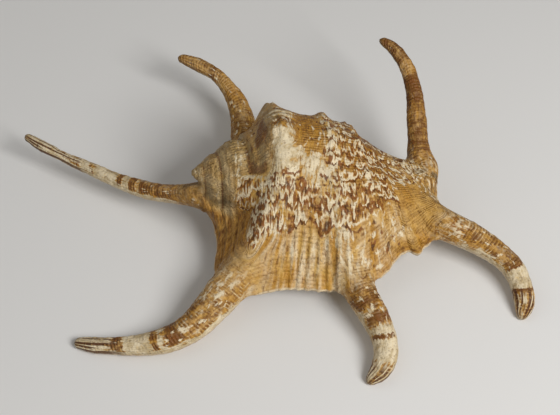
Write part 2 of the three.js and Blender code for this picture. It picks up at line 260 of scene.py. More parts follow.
def about_axis(along, angle, radius):
    along, angle, radius = (value[..., None] for value in np.broadcast_arrays(along, angle, radius))
    return APEX + along * AXIS + np.cos(angle) * radius * UPWARD + np.sin(angle) * radius * LEVEL


def round_axis(points):
    """Distance from the apex along the axis, angle from the top to the lip, and distance from the axis."""
    from_apex = points - APEX
    up, level = from_apex @ UPWARD, from_apex @ LEVEL
    return from_apex @ AXIS, np.arctan2(level, up), np.hypot(level, up)


def knob_height(along, angle):
    height = np.zeros(len(along))
    for middle, turn, tall, reach, spread in KNOBS:
        apart = np.mod(angle - math.radians(turn) + np.pi, 2 * np.pi) - np.pi
        height += tall * np.exp(-(((along - middle) / reach) ** 2) - (apart / math.radians(spread)) ** 2)
    return height


def read_array(items, key, width, kind=float):
    values = np.empty(len(items) * width, kind)
    items.foreach_get(key, values)
    return values.reshape(-1, width)


class Surface:
    """The points of a mesh with their neighbours, in millimetres."""

    def __init__(self, mesh):
        self.mesh = mesh
        self.points = read_array(mesh.vertices, "co", 3) / MM
        edges = read_array(mesh.edges, "vertices", 2, int)
        self.ends = np.concatenate([edges[:, 0], edges[:, 1]])
        self.others = np.concatenate([edges[:, 1], edges[:, 0]])
        self.degree = np.maximum(np.bincount(self.ends, minlength=len(self.points)), 1)

    def spread(self, values):
        """Each point's neighbours' mean."""
        columns = values.reshape(len(self.points), -1)
        mean = [
            np.bincount(self.ends, columns[self.others, k], minlength=len(self.points)) / self.degree
            for k in range(columns.shape[1])
        ]
        return np.stack(mean, 1).reshape(values.shape)

    def relax(self, passes, weight=1, swell=True):
        """Smooths the surface; swell undoes the shrinking."""
        weight = np.broadcast_to(np.asarray(weight, float), len(self.points))[:, None]
        for _ in range(passes):
            for share in (0.5, -0.53) if swell else (0.5,):
                self.points += weight * share * (self.spread(self.points) - self.points)

    def store(self):
        self.mesh.vertices.foreach_set("co", (self.points * MM).ravel())
        self.mesh.update()

    def normals(self):
        self.store()
        return read_array(self.mesh.vertex_normals, "vector", 3)

    def label(self, name, columns):
        """Stores a vector for each point as an attribute."""
        values = np.stack(columns, 1).astype(np.float32)
        self.mesh.attributes.new(name, "FLOAT_VECTOR", "POINT").data.foreach_set("vector", values.ravel())


# ---- Where each point lies on the shell

HORN_STEPS = 200  # places along a horn's centreline
HORN_REACH = 12  # how far from a horn points are still told where they lie on it
BATCH = 8000


def horn_places(points):
    """For each point: distance from the nearest horn's skin, which horn, distance from its tip, angle round
    it, share of its free length from the root, and the way out from its centreline."""
    off = np.full(len(points), 1e9)
    which, tip_distance, angle, share = (np.zeros(len(points)) for _ in range(4))
    way = np.zeros((len(points), 3))
    for number, (name, route) in enumerate(HORNS.items()):
        route = np.array(route, float)
        line = smooth_line(route[:, :3] + CENTRING, HORN_STEPS)
        radius = graph(list(zip(np.linspace(0, 1, len(route)), route[:, 3])))(np.linspace(0, 1, HORN_STEPS))
        tangent = np.gradient(line, axis=0)
        tangent /= lengths(tangent)
        arc = np.concatenate([[0], np.cumsum(np.linalg.norm(np.diff(line, axis=0), axis=1))])
        above, below = points > line.min(0) - HORN_REACH, points < line.max(0) + HORN_REACH
        near = np.flatnonzero(above.all(1) & below.all(1))
        for part in np.array_split(near, max(1, len(near) // BATCH)):
            apart = points[part][:, None, :].astype(np.float32) - line[None].astype(np.float32)
            gap = np.sqrt((apart**2).sum(2)) - radius[None].astype(np.float32)
            i = gap.argmin(1)
            gap = gap[np.arange(len(part)), i].astype(float)
            better = gap < off[part]
            rows, i, gap = part[better], i[better], gap[better]
            radial = points[rows] - line[i]
            slip = (radial * tangent[i]).sum(1)
            radial -= slip[:, None] * tangent[i]
            level = np.cross(tangent[i], (0, 0, 1))
            level /= lengths(level)
            upward = np.cross(level, tangent[i])
            off[rows], which[rows] = gap, number
            angle[rows] = np.arctan2((radial * upward).sum(1), (radial * level).sum(1))
            tip_distance[rows] = arc[-1] - arc[i] - slip + radius[-1]
            share[rows] = 1 - tip_distance[rows] / FREE_LENGTH[name]
            way[rows] = radial / np.maximum(lengths(radial), 1e-6)
    return SimpleNamespace(off=off, which=which, tip=tip_distance, angle=angle, share=share, way=way)


def lip_places(points):
    """For each point, seen from above: share of the way out to the lip's edge, number across the lip, growth
    that the place stands for, height of the lip's back there, distance from the edge, and from the lip."""
    stations = np.linspace(0, 1, 1100)
    outs = np.linspace(0, 1.08, 110)
    marks = np.linspace(0, 1, len(LIP_RIBS))
    along, angle, fullness, number, start = (
        graph(list(zip(marks, LIP_RIBS[:, k])))(stations) for k in range(3, 8)
    )
    rim = smooth_line(LIP_RIBS[:, :3] + CENTRING, len(stations))
    hub = about_axis(along, np.radians(angle), body_radius(along) - HUB_DEPTH)
    seen = hub[:, None, :2] * (1 - outs)[None, :, None] + rim[:, None, :2] * outs[None, :, None]
    held = np.minimum(outs, 1)
    fullness = fullness[:, None]
    lift = graph(SAGGING)(held)[None] * (1 - fullness) + graph(DOMED)(held)[None] * fullness
    back = rim[:, 2:3] + (hub[:, 2] - rim[:, 2])[:, None] * lift
    tree = KDTree(seen.shape[0] * seen.shape[1])
    for i, (x, y) in enumerate(seen.reshape(-1, 2)):
        tree.insert((x, y, 0), i)
    tree.balance()
    nearest = np.array([tree.find((x, y, 0))[1:] for x, y in points[:, :2]])
    i = nearest[:, 0].astype(int)
    station, out = i // len(outs), outs[i % len(outs)]
    return SimpleNamespace(
        out=out,
        number=number[station],
        grown=(start[station] + (1 - start[station]) * out) * GROWTH_LENGTH,
        back=back.reshape(-1)[i],
        edge=(1 - out) * np.linalg.norm((rim - hub)[:, :2], axis=1)[station],
        miss=nearest[:, 1],
    )


# ---- Carving

def round_off(surface):
    """Brings the points onto the smooth form under the solid's flat facets, and fills the corners."""
    points = surface.points
    horns = horn_places(points)
    hold = step(np.abs(horns.off), 0.7, 0.3) * step(horns.tip, 1.5, 4)
    points -= (hold * np.clip(horns.off, -0.5, 0.5))[:, None] * horns.way

    along, angle, radius = round_axis(points)
    off_body = radius - body_radius(along) - knob_height(along, angle)
    hold = step(np.abs(off_body), 0.8, 0.4) * step(horns.off, 0.2, 0.8) * hump(along, 0.5, 2, 98, 101)
    outward = about_axis(along, angle, 1) - about_axis(along, angle, 0)
    points -= (hold * np.clip(off_body, -0.5, 0.5))[:, None] * outward

    lip = lip_places(points)
    off_lip = points[:, 2] - lip.back
    hold = (
        step(np.abs(off_lip), 1.2, 0.5) * step(horns.off, 0.2, 0.8) * step(off_body, 0.1, 0.8)
        * hump(lip.out, 0.02, 0.1, 0.93, 0.98) * step(lip.miss, 1, 0.5)
    )
    points[:, 2] -= hold * np.clip(off_lip, -1, 1)

    blunt = step(horns.tip, 1, 6) * step(along, 0.5, 6)
    surface.relax(6, weight=blunt)
    skins = np.sort(np.abs(np.stack([horns.off, off_body, off_lip * 0.7])), axis=0)
    corner = step(skins[1], 4.5, 1) * step(horns.tip, 12, 25)
    for _ in range(6):
        corner = np.maximum(corner, surface.spread(corner))
    corner = surface.spread(surface.spread(corner))
    surface.relax(60, weight=np.clip(corner, 0, 1), swell=False)
    surface.relax(4, weight=blunt)
    # The mouth's thin edge under the lip.
    x, y, z = points.T
    mouth = hump(x, -14, -6, 56, 64) * hump(y, -26, -18, 6, 12) * hump(z, 5, 8, 20, 25)
    surface.relax(40, weight=mouth * step(horns.tip, 30, 45), swell=False)


def find_places(surface):
    """Every field that the carving and the colours read."""
    points, normals = surface.points, surface.normals()
    horns, lip = horn_places(points), lip_places(points)
    along, angle, radius = round_axis(points)
    off_body, over_lip = radius - body_radius(along), points[:, 2] - lip.back
    p = SimpleNamespace(horns=horns, along=along, angle=angle, normals=normals)

    p.horn = step(horns.off, 2.8, 0.4) * step(horns.share, -0.25, 0.12)
    on_body = step(np.abs(off_body), 5.5, 3) * step(off_body, -2.2, -1.2)
    end = 30 - 12.5 * step(np.degrees(angle), 34, 44)
    p.spire = step(along, end + 1.5, end - 1.5) * on_body * (1 - p.horn)
    p.spire *= step(over_lip, -6, -2)
    bare = step(np.abs(off_body), 2.6, 1.2) * step(along, 40, 36) * step(over_lip, 0.8, 2.4)
    p.front = step(np.sin(angle) * radius, 0, 3) * step(lip.miss, 2.5, 1) * (1 - bare)

    # The whorl's hollow lies well inside the body; the belly and the lip's underside face down.
    inside = step(off_body, -0.8, -1.8) * hump(along, 16, 22, 92, 98) * (1 - p.horn)
    below = step(normals[:, 2], 0.05, -0.3) * (1 - p.spire) * (1 - 0.5 * p.horn)
    below *= step(over_lip, -1, -3) * step(points[:, 1], 46, 24)
    deep = step(over_lip, -4, -7) * step(lip.miss, 2.5, 1) * (1 - p.horn)
    p.under = np.maximum.reduce((inside, below, deep))

    # Two coordinates on the skin: across counts the cords that run out to the lip's edge, grown counts the
    # growth lines that lie along it.
    p.across = along * (1 - p.front) + lip.number * p.front
    p.grown = angle * np.maximum(radius, 3) * (1 - p.front) + lip.grown * p.front
    p.rim = lip.edge + 40 * (1 - p.front) + 20 * p.horn
    p.rim += np.clip(over_lip + 1.9, 0, 9)
    limit = 27.5 + 7.6 * step(lip.grown / GROWTH_LENGTH, 0.48, 0.68)
    beside_spire = step(lip.number, limit + 1.2, limit - 1.2)
    p.valley = beside_spire * p.front * (1 - p.horn) * step(lip.out, 0, 0.06)
    # Beside the great knob the marks keep to level rows, whatever way the ribs run.
    levelled = step(p.across, 43, 38) * step(p.across, 13, 18) * step(np.sin(angle) * radius, 4, 8)
    levelled *= step(p.grown, 39, 33) * (1 - p.spire) * (1 - p.valley)
    p.mark_across = p.across + levelled * (points[:, 0] + 34.5 - p.across)
    p.mark_grown = p.grown + levelled * (18 - points[:, 1] - 0.25 * points[:, 2] - p.grown)
    for name in ("across", "grown", "mark_across", "mark_grown", "rim", "valley", "horn", "spire", "under"):
        values = getattr(p, name)
        for _ in range(5):
            values = 0.4 * values + 0.6 * surface.spread(values)
        setattr(p, name, values)
    p.out = p.grown / GROWTH_LENGTH
    return p


def whorl_place(along, angle):
    """How far between two sutures of the spire."""
    turns = graph(((0, 0), (1.8, 1), (4.4, 2), (10.6, 3), (21.3, 4), (40, 5)))(along)
    return np.mod(turns - (angle - 0.5) / (2 * np.pi), 1)


# The ridges that run down the back to the lip's horns: where each starts across the shell, its drift on the
# way out, width, height, length of one knob, and how far out it reaches.
RIDGES = (
    (54.8, 3.2, 1.7, 1, 6.2, 0.75), (67.3, 0.5, 1.5, 0.9, 5.4, 0.7), (37, -3.5, 3, 0.9, 40, 0.9),
    (47.5, 1, 1.2, 0.3, 5, 0.6), (61, 2, 1.2, 0.45, 5.3, 0.7), (74, 1, 1.2, 0.4, 5.3, 0.6),
)


def beside_ridge(p, start, drift):
    """How far across the shell each point is from a ridge's crest."""
    return p.across - start - drift * np.clip(p.out, -0.3, 1)


def carve(surface, p, sizes):
    """Cords, growth ridges, knobs, sutures and the horns' rings and grooves."""
    points, out, across, grown = surface.points, p.out, p.across, p.grown
    skin = (1 - p.under) * (1 - p.horn)
    back = skin * (1 - p.spire)
    height = np.zeros(len(points))

    # Cords that fold the lip.
    spacing = sizes.cord_spacing / MM
    place = (across - 47.4 + 0.45 * lumps(points, 11, 3)) / spacing * 2 * np.pi
    folds = np.cos(place) + 0.35 * np.cos(2 * place + 0.8)
    strong = hump(across, 41, 46, 56, 61) * step(out, 0.35, 0.85)
    weaker = hump(across, 58, 63, 84, 90) * step(out, 0.5, 0.9) * 0.5
    faint = step(across, 34, 38) * step(out, 0, 0.2) * 0.18
    height += sizes.cord_height / MM * folds * np.maximum(np.maximum(strong, weaker), faint) * back

    for start, drift, width, tall, bead, reach in RIDGES:
        knobs = 0.6 + 0.4 * np.cos((grown - 3) / bead * 2 * np.pi)
        height += (
            tall * bell(beside_ridge(p, start, drift), 0, width) * knobs
            * step(out, reach, reach - 0.3) * step(out, -0.9, -0.2) * back
        )

    # Growth ridges: low over the back, deep wrinkles in the valley beside the spire.
    bent = grown + 1.3 * lumps(points, 9, 5)
    ridges = np.sin(bent / 3.9 * 2 * np.pi) + 0.6 * np.sin(bent / 2.3 * 2 * np.pi + 1)
    height += ridges * (0.06 * back * step(out, 0.5, 0.8) + 0.02 * back + 0.20 * p.valley)
    # Old lips that overlap on the great knob.
    knob = hump(across, 26, 29, 38, 42) * back
    for edge, tall in ((0.015, 0.8), (-0.19, 0.7), (-0.27, 0.6)):
        height += tall * knob * step(out, edge - 0.16, edge) * step(out, edge + 0.025, edge)

    # The spire's whorls, their sutures, ribs and threads.
    between = whorl_place(p.along, p.angle)
    size = np.clip(p.along / 20, 0.15, 1)
    whorl = np.sin(np.pi * between) ** 0.6 - 0.7
    ribs = bell(between, 0.8, 0.2) * np.cos(p.angle * 40)
    threads = np.cos(between * 2 * np.pi * 5)
    height += p.spire * size * (2.3 * whorl + 0.45 * ribs + 0.2 * threads + 0.4 * lumps(points, 3, 6))

    # The horns: faint rings, a groove or two along the end, and an uneven skin.
    horns = p.horns
    slant = horns.tip + 1.5 * np.sin(horns.angle) + 1.5 * lumps(points, 7, 8)
    rings = 0.05 * np.sin(slant / 3.1 * 2 * np.pi) + 0.05 * np.sin(slant / 5.3 * 2 * np.pi + 2)
    grooves = -0.28 * step(horns.share, 0.5, 0.85) * step(horns.tip, 1.5, 5) * (
        bell(np.cos(horns.angle - 1.25), 1, 0.04) + 0.8 * bell(np.cos(horns.angle - 2.3), 1, 0.03)
    )
    stout = np.clip(horns.tip / 30, 0.2, 1)
    knuckle = 0.6 * hump(horns.tip, 0.2, 2, 7, 18)
    height += p.horn * (rings + grooves + 0.3 * stout * lumps(points, 8, 9) + knuckle)

    height += (0.22 * lumps(points, 7.5, 11) + 0.09 * lumps(points, 2.6, 12)) * (1 - p.under)
    # A floor contact stays flat, and nothing goes through the floor.
    height *= step(points[:, 2], 0.3, 1.6)
    surface.points += height[:, None] * p.normals
    surface.points[:, 2] = np.maximum(surface.points[:, 2], 0)


# Painted regions, each over the one before: from and to across the shell, from and to along the growth (1 at
# the lip's edge), then how white, flecked, brown, golden, grey and streaked it is, in hundredths.
REGIONS = (
    (-99, 199, -9, 9.00,  10,  40,  25,  60,   0,  20),  # the whole skin
    (36, 57, -1.4, 0.14,  14,  30,  48,  85,   0,   0),  # the crest, with its growth lines
    (34, 60, 0.15, 0.46,  66,  15,   0,  20,   5,  45),  # white above the rows of flecks
    (28.5, 39, 0.02, 0.36,  80,   0,   5,   0,  60,   0),  # the great knob's face
    (28, 38, -0.30, 0,  42,  90,  60,  50,  10,   0),  # spots on the great knob
    (27, 44, 0.30, 0.60,  62,  95,  15,  20,   0,  10),  # white and brown below its face
    (35, 44, 0.55, 0.74,  55,  90,  10,  20,   0,  20),
    (42, 60, 0.40, 0.70,  22,  90,   5,  45,   0,  40),  # the rows
    (32, 63, 0.70, 1.30,  20,   0,  16,   0,   0, 100),  # plain folds down to the edge
    (30, 41, 0.80, 1.30,  18,   0,   5,  10,  10,  70),
    (57, 83, -0.6, 0.60,  10, 100,  15,  85,   0,   0),  # zigzags
    (59, 90, -1.4, -0.02,   0,  75,  58,  90,   0,   0),
    (82, 97, -0.9, 0.36,  36,  75,  15,  10,  35,   0),  # spots beside the canal's horn
    (61, 79, 0.58, 1.30,  28,  38,  15,  40,   0,  55),
    (77, 99, 0.32, 1.30,  10,   0,   0,  42,   0,  10),  # smooth ochre
    (71, 84, 0.90, 1.30,   0,   0,  50,  40,   0,   0),
)

# Ridges that run white: start, drift, width, how far out they reach, and how much white.
WHITE_RIDGES = ((54.8, 3.2, 3.2, 0.9, 0.9), (67.3, 0.5, 1.9, 0.62, 0.5), (61, 2, 1.2, 0.6, 0.35))


def stain(surface, p):
    """How white, flecked, brown, golden, grey and streaked the skin is, and how white, flecked, brown and
    striped the horns are."""
    points, out, across, along, horns = surface.points, p.out, p.across, p.along, p.horns
    spire, hornless = p.spire, 1 - p.horn
    degrees = np.degrees(p.angle)
    marks = np.zeros((len(out), 6))

    def paint(amount, *values):
        amount = np.clip(amount, 0, 1)[:, None]
        marks[:] += amount * (np.stack(np.broadcast_arrays(*values, out)[:-1], 1) - marks)

    s = across + 1.2 * lumps(points, 6, 31)
    g = out + 0.03 * lumps(points, 5, 32) + 0.02 * lumps(points, 2.2, 35)
    for low, high, start, end, *values in REGIONS:
        here = hump(s, low - 2.2, low + 2.2, high - 2.2, high + 2.2)
        here *= hump(g, start - 0.07, start + 0.07, end - 0.07, end + 0.07)
        paint(here, *(value / 100 for value in values))

    # White runs down the ridges.
    for start, drift, width, reach, amount in WHITE_RIDGES:
        run = bell(beside_ridge(p, start, drift), 0, width) * step(out, reach, reach - 0.2)
        paint(amount * (run * step(out, -0.55, -0.2)), 0.62, step(out, 0.72, 0.6), 0, 0, 0.1, 0.2)
    # The valley, the spire's flank, the canal's root, the crest between the valley and the front, and white
    # lines on the old lips' edges.
    paint(p.valley, 0, 0, 0.48, 0.9, 0, 0.1)
    flank = hump(along, 26.5, 28, 31, 33.5) * hump(degrees, -85, -65, -14, -2) * (1 - spire)
    paint(0.9 * flank, 0.2, 0, 0.35, 0, 0.75, 0.2)
    canal = step(np.linalg.norm(points - CANAL_ROOT, axis=1), 19, 10)
    paint(0.8 * canal, 0.40, 0.5, 0.15, 0.1, 0.25, 0)
    crest = 0.8 * bell(across, 34.6, 1.8) * step(out, 0.62, 0.78)
    paint(crest * (1 - 0.4 * p.horn), 0.25, 0.2, 0.1, 0, 0.75, 0.2)
    for edge in (0.02, -0.185, -0.265):
        paint(hump(across, 27, 30, 38, 41) * bell(out, edge, 0.012) * hornless, 1, 0, 0, 0, 0.2, 0)

    # The spire is greyish: pinkish brown and beige whorls, white ribs, and brown patches on the ramp below.
    between = whorl_place(along, p.angle)
    wandering = degrees + 8 * lumps(points, 4, 33)
    paint(spire, 0.14, 0, 0.22, 0, 0.85, 0)
    paint(spire * hump(along, 4.4, 5.4, 9, 10.2), 0, 0, 0.5, 0.1, 0.75, 0)
    # The brown along the sutures is painted shade in the creases between the whorls.
    suture = bell(between, 0, 0.07) + bell(between, 1, 0.07)
    paint(spire * step(along, 0.5, 2) * suture, 0, 0, 1, 0, 0.15, 0)
    paint(0.6 * spire * bell(between, 0.72, 0.16), 0.45, 0, 0, 0, 0.6, 0)
    white = hump(along, 16.6, 17.6, 20, 21.2) * hump(wandering, -60, -30, 30, 44)
    paint(0.7 * spire * white * (0.5 + 0.5 * np.cos(p.angle * 44)), 0.62, 0, 0.1, 0, 0.6, 0)
    ramp = step(spire, 0.2, 0.7) * hump(along + 0.8 * lumps(points, 3, 34), 21, 22, 27.8, 29.2)
    patches = hump(wandering, -40, -26, 2, 14) + 0.85 * hump(wandering, 16, 28, 36, 52)
    paint(0.92 * ramp * np.clip(patches, 0, 1), 0, 0, 1, 0.2, 0.05, 0)
    # Below its thin pale edge line the last whorl is brown and white.
    below = hump(along, 15.5, 18.5, 27, 30) * (1 - spire) * (1 - p.front)
    paint(below * step(wandering, 30, 42) * hornless, 0.35, 0.9, 0.45, 0.2, 0, 0)
    paint(0.8 * hump(along, 14, 17, 28, 30) * bell(degrees, 42, 2.2) * hornless, 0.9, 0, 0, 0, 0.3, 0)

    horn_marks = np.zeros((len(out), 4))
    wavy = horns.tip + 0.8 * lumps(points, 6, 21) + 1.5 * np.sin(horns.angle)
    for number, table in enumerate(HORN_STAINS.values()):
        places, *columns = np.array(table, float).T
        here = horns.which == number
        for k, column in enumerate(columns):
            horn_marks[here, k] = np.interp(wavy[here], places, column / 100)
    # The horns are paler below: up to their sides, apart from the two at the back.
    turned = np.sin(horns.angle) + 0.25 * lumps(points, 4, 22)
    turned += 0.6 * np.isin(horns.which, REAR_HORNS)
    side = step(turned, 0.5, 0) * step(horns.share, -0.1, 0.2)
    horn_marks[:, 0] += side * (0.85 - horn_marks[:, 0])
    horn_marks[:, 1] *= 1 - side
    horn_marks[:, 2] *= 1 - 0.9 * side
    return marks, horn_marks


# ---- Materials

class Sheet:
    """A node tree being drawn up: each call adds a node and gives back its output."""

    def __init__(self, tree):
        self.tree = tree
        self.nodes, self.links = tree.nodes, tree.links

    def add(self, kind, inputs=None, **settings):
        node = self.nodes.new(kind)
        for key, value in settings.items():
            setattr(node, key, value)
        for key, value in (inputs or {}).items():
            self.put(node.inputs[key], value)
        return node

    def put(self, socket, value):
        if isinstance(value, bpy.types.NodeSocket):
            self.links.new(value, socket)
        else:
            socket.default_value = value

    def sum(self, operation, *values, clamp=False):
        node = self.add("ShaderNodeMath", operation=operation, use_clamp=clamp)
        for socket, value in zip(node.inputs, values):
            self.put(socket, value)
        return node.outputs[0]

    def line(self, value, slope, start, clamp=False):
        return self.sum("MULTIPLY_ADD", value, slope, start, clamp=clamp)

    def times(self, *values):
        return reduce(lambda total, value: self.sum("MULTIPLY", total, value), values)

    def plus(self, *values):
        return reduce(lambda total, value: self.sum("ADD", total, value), values)

    def swing(self, value, amount):
        """A noise's swing about its middle."""
        return self.line(value, amount, -0.5 * amount)

    def step(self, value, start, end):
        node = self.add("ShaderNodeMapRange", interpolation_type="SMOOTHSTEP", clamp=True)
        for key, item in (("Value", value), ("From Min", start), ("From Max", end)):
            self.put(node.inputs[key], item)
        return node.outputs["Result"]

    def blend(self, factor, first, second):
        node = self.add("ShaderNodeMix", data_type="RGBA", clamp_factor=True)
        sockets = [socket for socket in node.inputs if socket.enabled]
        for socket, value in zip(sockets, (factor, first, second)):
            self.put(socket, value)
        return next(socket for socket in node.outputs if socket.enabled)

    def layers(self, ground, *layers):
        """Colours laid over the ground, each by its own amount."""
        for amount, colour in layers:
            ground = self.blend(amount, ground, colour)
        return ground

    def noise(self, vector, scale=1, detail=2, roughness=0.5):
        inputs = {"Vector": vector, "Scale": scale, "Detail": detail, "Roughness": roughness}
        return self.add("ShaderNodeTexNoise", inputs).outputs["Fac"]

    def split(self, name):
        vector = self.add("ShaderNodeAttribute", attribute_name=name).outputs["Vector"]
        return self.add("ShaderNodeSeparateXYZ", {"Vector": vector}).outputs

    def place(self, x, y, z):
        return self.add("ShaderNodeCombineXYZ", {"X": x, "Y": y, "Z": z}).outputs[0]

    def over(self, place, size):
        return self.add("ShaderNodeVectorMath", {0: place, 1: size}, operation="DIVIDE").outputs[0]

    def grained(self, place, wide, long, detail=1, roughness=0.5):
        """A noise whose marks are so wide across and so long the way the shell grew."""
        return self.noise(self.over(place, (wide, wide, long)), 1, detail, roughness)

    def use(self, tree, **inputs):
        return self.add("ShaderNodeGroup", inputs, node_tree=tree).outputs


def group(name, inputs, outputs):
    tree = bpy.data.node_groups.new(name, "ShaderNodeTree")
    kinds = {"F": "NodeSocketFloat", "V": "NodeSocketVector"}
    for key, kind, value in inputs:
        socket = tree.interface.new_socket(key, in_out="INPUT", socket_type=kinds[kind])
        if value is not None:
            socket.default_value = value
    for key, kind in outputs:
        tree.interface.new_socket(key, in_out="OUTPUT", socket_type=kinds[kind])
    s = Sheet(tree)
    return s, s.add("NodeGroupInput").outputs, s.add("NodeGroupOutput").inputs


def growth_line_group():
    """Lines at an even spacing of one coordinate, wandering and uneven in strength."""
    s, given, result = group(
        "Growth Lines",
        (("Coordinate", "F", 0), ("Point", "V", None), ("Spacing", "F", 1), ("Wander", "F", 0.5)),
        (("Lines", "F"),),
    )
    shift = s.sum("SUBTRACT", s.noise(given["Point"], 140, 2), 0.5)
    place = s.line(shift, given["Wander"], given["Coordinate"])
    turns = s.sum("MULTIPLY", s.sum("DIVIDE", place, given["Spacing"]), 2 * math.pi)
    wave = s.line(s.sum("SINE", turns), 0.5, 0.5)
    strength = s.step(s.noise(given["Point"], 300, 1), 0.3, 0.6)
    s.put(result["Lines"], s.sum("MULTIPLY", wave, strength))
    return s.tree


def tented_row_group():
    """Rows along the growth lines: white sheets with ragged teeth over brown patches that fade out below."""
    s, given, result = group(
        "Tented Rows",
        (
            ("Place", "V", None), ("Pitch", "F", 5.3), ("Tooth", "F", 1),
            ("White", "F", 0.5), ("Brown", "F", 0.5),
        ),
        (("White", "F"), ("Brown", "F")),
    )

    def spread(wide, long, detail):
        width = s.sum("MULTIPLY", given["Tooth"], wide)
        return s.noise(s.over(given["Place"], s.place(width, width, long)), 1, detail)

    tooth, fold, lot = spread(0.8, 3, 1), spread(2.2, 4.5, 0), spread(3.2, 4, 1)
    along = s.add("ShaderNodeSeparateXYZ", {"Vector": given["Place"]}).outputs["Z"]
    rows = s.sum("DIVIDE", along, given["Pitch"])
    turn = s.sum(
        "FRACT", s.plus(rows, s.swing(tooth, 1.35), s.swing(fold, 1.5), s.swing(lot, 0.8))
    )
    halo = s.times(s.step(turn, 0.64, 0.4), 0.35)
    patch = s.line(s.step(turn, 0.47, 0.39), 0.65, halo)
    dark = s.times(s.step(turn, 0, 0.05), patch)
    sheeted = s.times(s.step(turn, 0.5, 0.64), s.step(turn, 1, 0.985))
    # The more of a kind there is, the more of its marks show.
    for kind, marks, luck, share, least, soft in (
        ("Brown", dark, lot, 0.42, 0.24, 0.04), ("White", sheeted, fold, 0.44, 0.26, 0.05),
    ):
        chance = s.sum("SUBTRACT", s.line(given[kind], share, least), luck)
        some = s.step(given[kind], 0.02, 0.2)
        s.put(result[kind], s.times(marks, s.step(chance, -soft, soft), some))
    return s.tree


HORN_HUES = (0.7, 0, 0.25)  # golden, grey, streaked
ROUND_HORN = 4.2  # a horn's usual radius, which sets how wide the marks on it are
RELIEF_DEPTH = 0.0007


